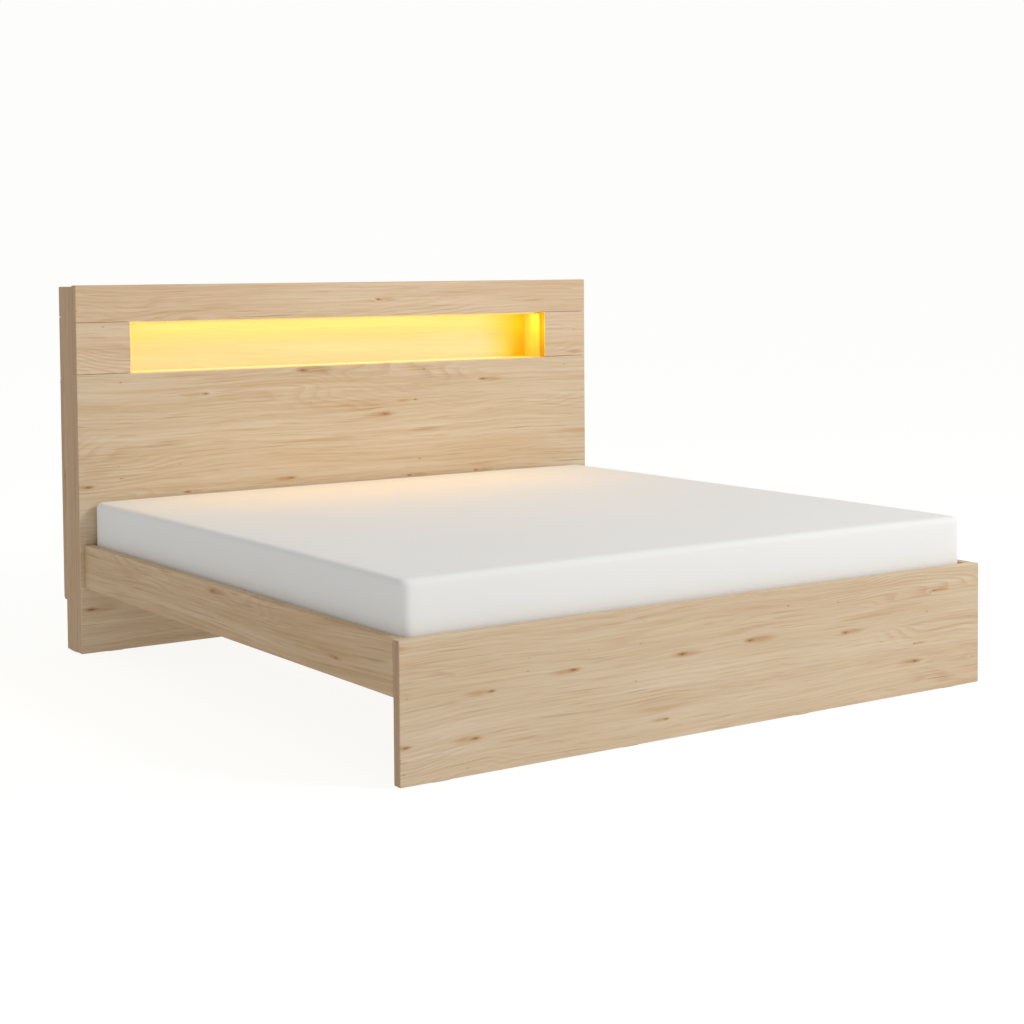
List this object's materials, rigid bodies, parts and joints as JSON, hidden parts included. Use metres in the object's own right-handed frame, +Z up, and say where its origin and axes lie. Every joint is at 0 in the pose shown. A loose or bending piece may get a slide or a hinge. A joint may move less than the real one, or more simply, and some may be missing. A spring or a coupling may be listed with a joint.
{
  "type": "double bed with lit headboard niche",
  "caption": "Double bed in pale oak boards with a lit shelf niche in its headboard, slatted bases on a steel centre beam, and a lift-off mattress.",
  "frame": {"origin": "on the floor, under the middle of the whole bed", "axes": "+X across the bed to the right as seen from the foot end, +Y along the bed to the head end, +Z up"},
  "size_m": [2.096, 2.196, 1.237],
  "materials": {
    "oak_board": "satin",
    "pine": "matte",
    "beech": "satin",
    "black_plastic": "matte",
    "white_plastic": "matte",
    "zinc_steel": "satin",
    "grey_steel": "satin",
    "aluminium": "satin",
    "light_diffuser": "matte",
    "light_strip": "satin",
    "black_rubber": "matte",
    "mattress_cover": "matte"
  },
  "bodies": {
    "frame": {"headboard_lower_board": "oak_board", "headboard_top_board": "oak_board", "headboard_end_board_left": "oak_board", "headboard_end_board_right": "oak_board", "headboard_side_left": "oak_board", "headboard_side_right": "oak_board", "headboard_top_panel": "oak_board", "headboard_uprights": "oak_board", "niche_floor": "oak_board", "niche_ceiling": "oak_board", "niche_end_left": "oak_board", "niche_end_right": "oak_board", "niche_back": "oak_board", "rear_lower_board": "oak_board", "rear_upper_board": "oak_board", "rear_end_board_left": "oak_board", "rear_end_board_right": "oak_board", "side_rail_left": "oak_board", "side_rail_right": "oak_board", "footboard": "oak_board", "light_channel": "aluminium", "light_strip": "light_strip", "light_diffuser": "light_diffuser", "light_driver": "white_plastic", "mains_gland": "black_rubber", "corner_brackets": "zinc_steel", "ledger_left": "grey_steel", "ledger_right": "grey_steel", "center_beam": "grey_steel", "beam_hangers": "zinc_steel", "center_legs": "grey_steel", "leg_plugs": "black_plastic", "base_frame_left": "pine", "base_frame_right": "pine", "slats_left": "beech", "slats_right": "beech", "slat_caps_left": "black_rubber", "slat_caps_right": "black_rubber", "headboard_glides": "white_plastic", "footboard_glides": "white_plastic"},
    "levelling_foot_foot_end": {"levelling_screw_foot_end": "zinc_steel", "levelling_pad_foot_end": "black_plastic"},
    "levelling_foot_head_end": {"levelling_screw_head_end": "zinc_steel", "levelling_pad_head_end": "black_plastic"},
    "mattress": {"mattress": "mattress_cover"}
  },
  "joints": [
    {"name": "mattress_lift", "type": "slide", "parent": "frame", "child": "mattress", "axis": [0, 0, 1], "range_m": [0, 0.95]},
    {"name": "levelling_foot_end", "type": "slide", "parent": "frame", "child": "levelling_foot_foot_end", "axis": [0, 0, 1], "range_m": [0, 0.012]},
    {"name": "levelling_head_end", "type": "slide", "parent": "frame", "child": "levelling_foot_head_end", "axis": [0, 0, 1], "range_m": [0, 0.012]}
  ]
}
